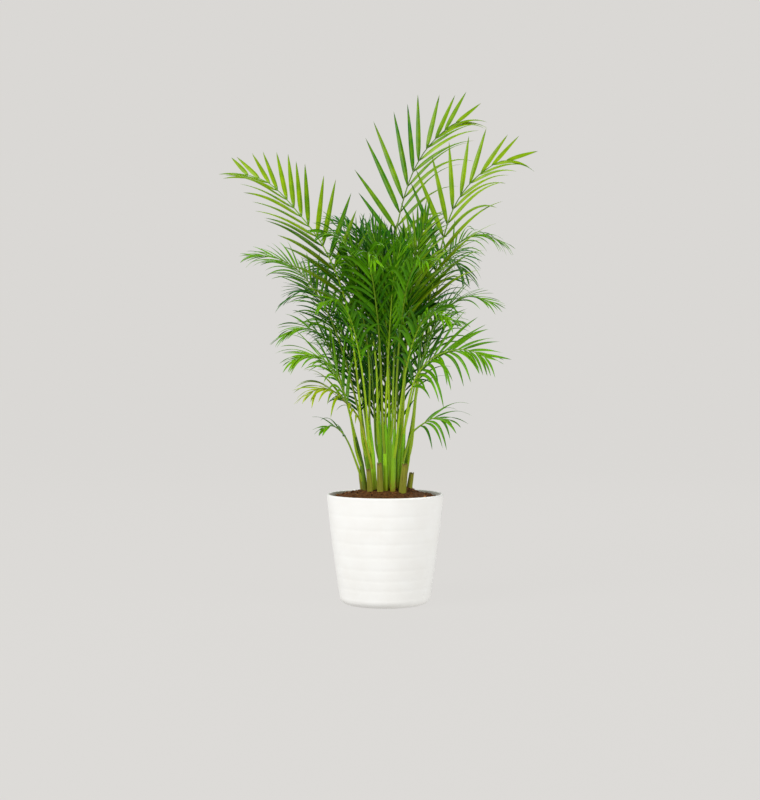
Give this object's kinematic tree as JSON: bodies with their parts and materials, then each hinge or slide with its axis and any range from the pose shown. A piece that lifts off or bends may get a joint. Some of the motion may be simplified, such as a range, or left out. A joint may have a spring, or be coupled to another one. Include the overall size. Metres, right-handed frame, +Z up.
{
  "type": "potted palm",
  "caption": "Feathery areca palm growing as a clump of slim canes from soil in a plain round flared ceramic cover pot.",
  "frame": {"origin": "centre of the pot's flat foot, on the surface that it stands on", "axes": "+Z up along the pot's axis, +X to the right and -Y towards a viewer in front"},
  "size_m": [0.7072, 0.6343, 1.1989],
  "materials": {
    "pot_glaze": "satin white glaze over faint throwing ridges",
    "potting_soil": "loose, matt, fibrous coir and bark mix",
    "cane_sheath": "smooth waxy yellow-green sheath",
    "old_sheath": "dry fibrous straw-brown sheath",
    "leaf_bright": "thin satin yellow-green leaf",
    "leaf_mid": "thin satin mid-green leaf",
    "leaf_deep": "thin satin deep-green leaf",
    "leaf_pale": "thin satin pale-green leaf",
    "leaf_yellow": "thin satin yellowing leaf"
  },
  "bodies": {
    "root": {"pot": "pot_glaze", "soil": "potting_soil", "cane_a": "cane_sheath", "cane_b": "cane_sheath", "cane_c": "cane_sheath", "cane_d": "cane_sheath", "cane_e": "cane_sheath", "cane_f": "cane_sheath", "cane_g": "cane_sheath", "cane_h": "cane_sheath", "cane_i": "cane_sheath", "cane_j": "cane_sheath", "cane_k": "cane_sheath", "cane_l": "cane_sheath", "cane_m": "cane_sheath", "cane_n": "cane_sheath", "stub_a": "old_sheath", "stub_b": "old_sheath", "stub_c": "old_sheath", "stub_d": "old_sheath", "stub_e": "old_sheath", "frond_crown": "leaf_bright", "frond_right_high": "leaf_bright", "frond_left_high": "leaf_bright", "frond_left_mid": "leaf_mid", "frond_left_low_a": "leaf_mid", "frond_left_low_b": "leaf_pale", "frond_left_low_c": "leaf_yellow", "frond_left_small": "leaf_mid", "frond_right_mid": "leaf_mid", "frond_right_low": "leaf_mid", "frond_right_small": "leaf_mid", "frond_right_fine": "leaf_mid", "frond_centre_front": "leaf_mid", "frond_centre_right": "leaf_bright", "frond_centre_left": "leaf_mid", "frond_centre_tall": "leaf_deep", "frond_front": "leaf_mid", "frond_front_low": "leaf_mid", "frond_back_left": "leaf_deep", "frond_back": "leaf_deep", "frond_back_right": "leaf_deep", "frond_back_tall": "leaf_deep", "frond_centre_back": "leaf_deep", "frond_left_back": "leaf_deep", "frond_centre_low": "leaf_mid", "frond_back_low_left": "leaf_mid", "frond_back_low_right": "leaf_mid", "frond_inner_left": "leaf_deep", "frond_inner_back": "leaf_deep", "frond_inner_right": "leaf_deep", "frond_upright_a": "leaf_mid", "frond_upright_b": "leaf_mid", "frond_upright_c": "leaf_mid", "frond_upright_d": "leaf_mid", "frond_upright_e": "leaf_deep", "frond_spear_a": "leaf_deep", "frond_spear_b": "leaf_deep", "frond_spear_c": "leaf_deep"}
  },
  "joints": []
}
